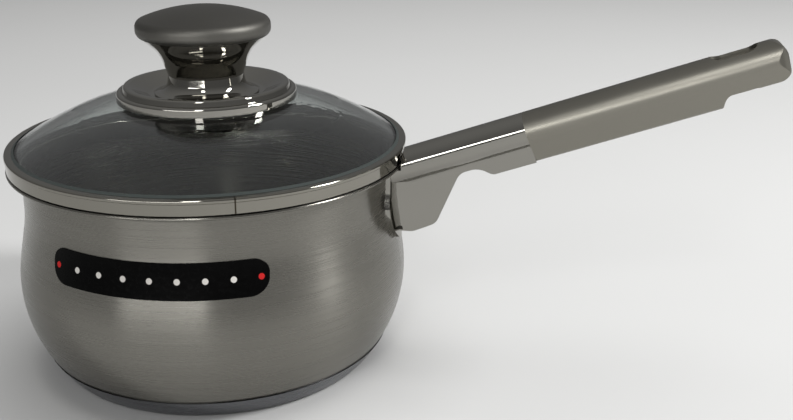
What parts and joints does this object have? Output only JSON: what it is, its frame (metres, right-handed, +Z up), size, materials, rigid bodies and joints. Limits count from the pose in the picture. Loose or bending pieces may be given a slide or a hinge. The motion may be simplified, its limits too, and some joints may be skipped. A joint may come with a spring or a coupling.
{
  "type": "saucepan with glass lid",
  "caption": "Small bellied stainless steel saucepan with a long rising hollow handle and a domed glass lid with a steel rim and round knob.",
  "frame": {"origin": "centre of the underside of the base, on the pan's axis", "axes": "+Z up along the pan's axis, +X towards the end of the handle"},
  "size_m": [0.3268, 0.1732, 0.1572],
  "materials": {
    "brushed_body": "satin, brushed round the axis",
    "base_steel": "turned satin",
    "polished_steel": "mirror polished",
    "satin_steel": "fine matt satin",
    "core_aluminium": "plain",
    "lid_glass": "clear, faintly green",
    "clear_silicone": "translucent silicone",
    "label_black": "gloss black",
    "phenolic": "moulded phenolic",
    "brass": "machined"
  },
  "bodies": {
    "pan": {"pan_body": "brushed_body", "base_core": "core_aluminium", "base_cap": "base_steel", "front_label": "label_black", "handle_mount": "polished_steel", "handle_tongue": "polished_steel", "handle_shank": "polished_steel", "handle_spigot": "core_aluminium", "handle_grip": "satin_steel"},
    "lid": {"lid_glass": "lid_glass", "lid_rim": "polished_steel", "edge_seal": "clear_silicone", "knob_plate": "polished_steel", "plate_gasket": "clear_silicone", "hole_bush": "clear_silicone", "under_gasket": "clear_silicone", "under_washer": "polished_steel", "spring_washer": "base_steel", "knob_screw": "base_steel", "knob_foot": "polished_steel", "knob_stem": "polished_steel", "knob_core": "phenolic", "knob_insert": "brass", "knob_cap": "satin_steel"}
  },
  "joints": [
    {"name": "lid_lift", "type": "slide", "parent": "pan", "child": "lid", "axis": [0, 0, 1], "range_m": [0, 0.12]}
  ]
}
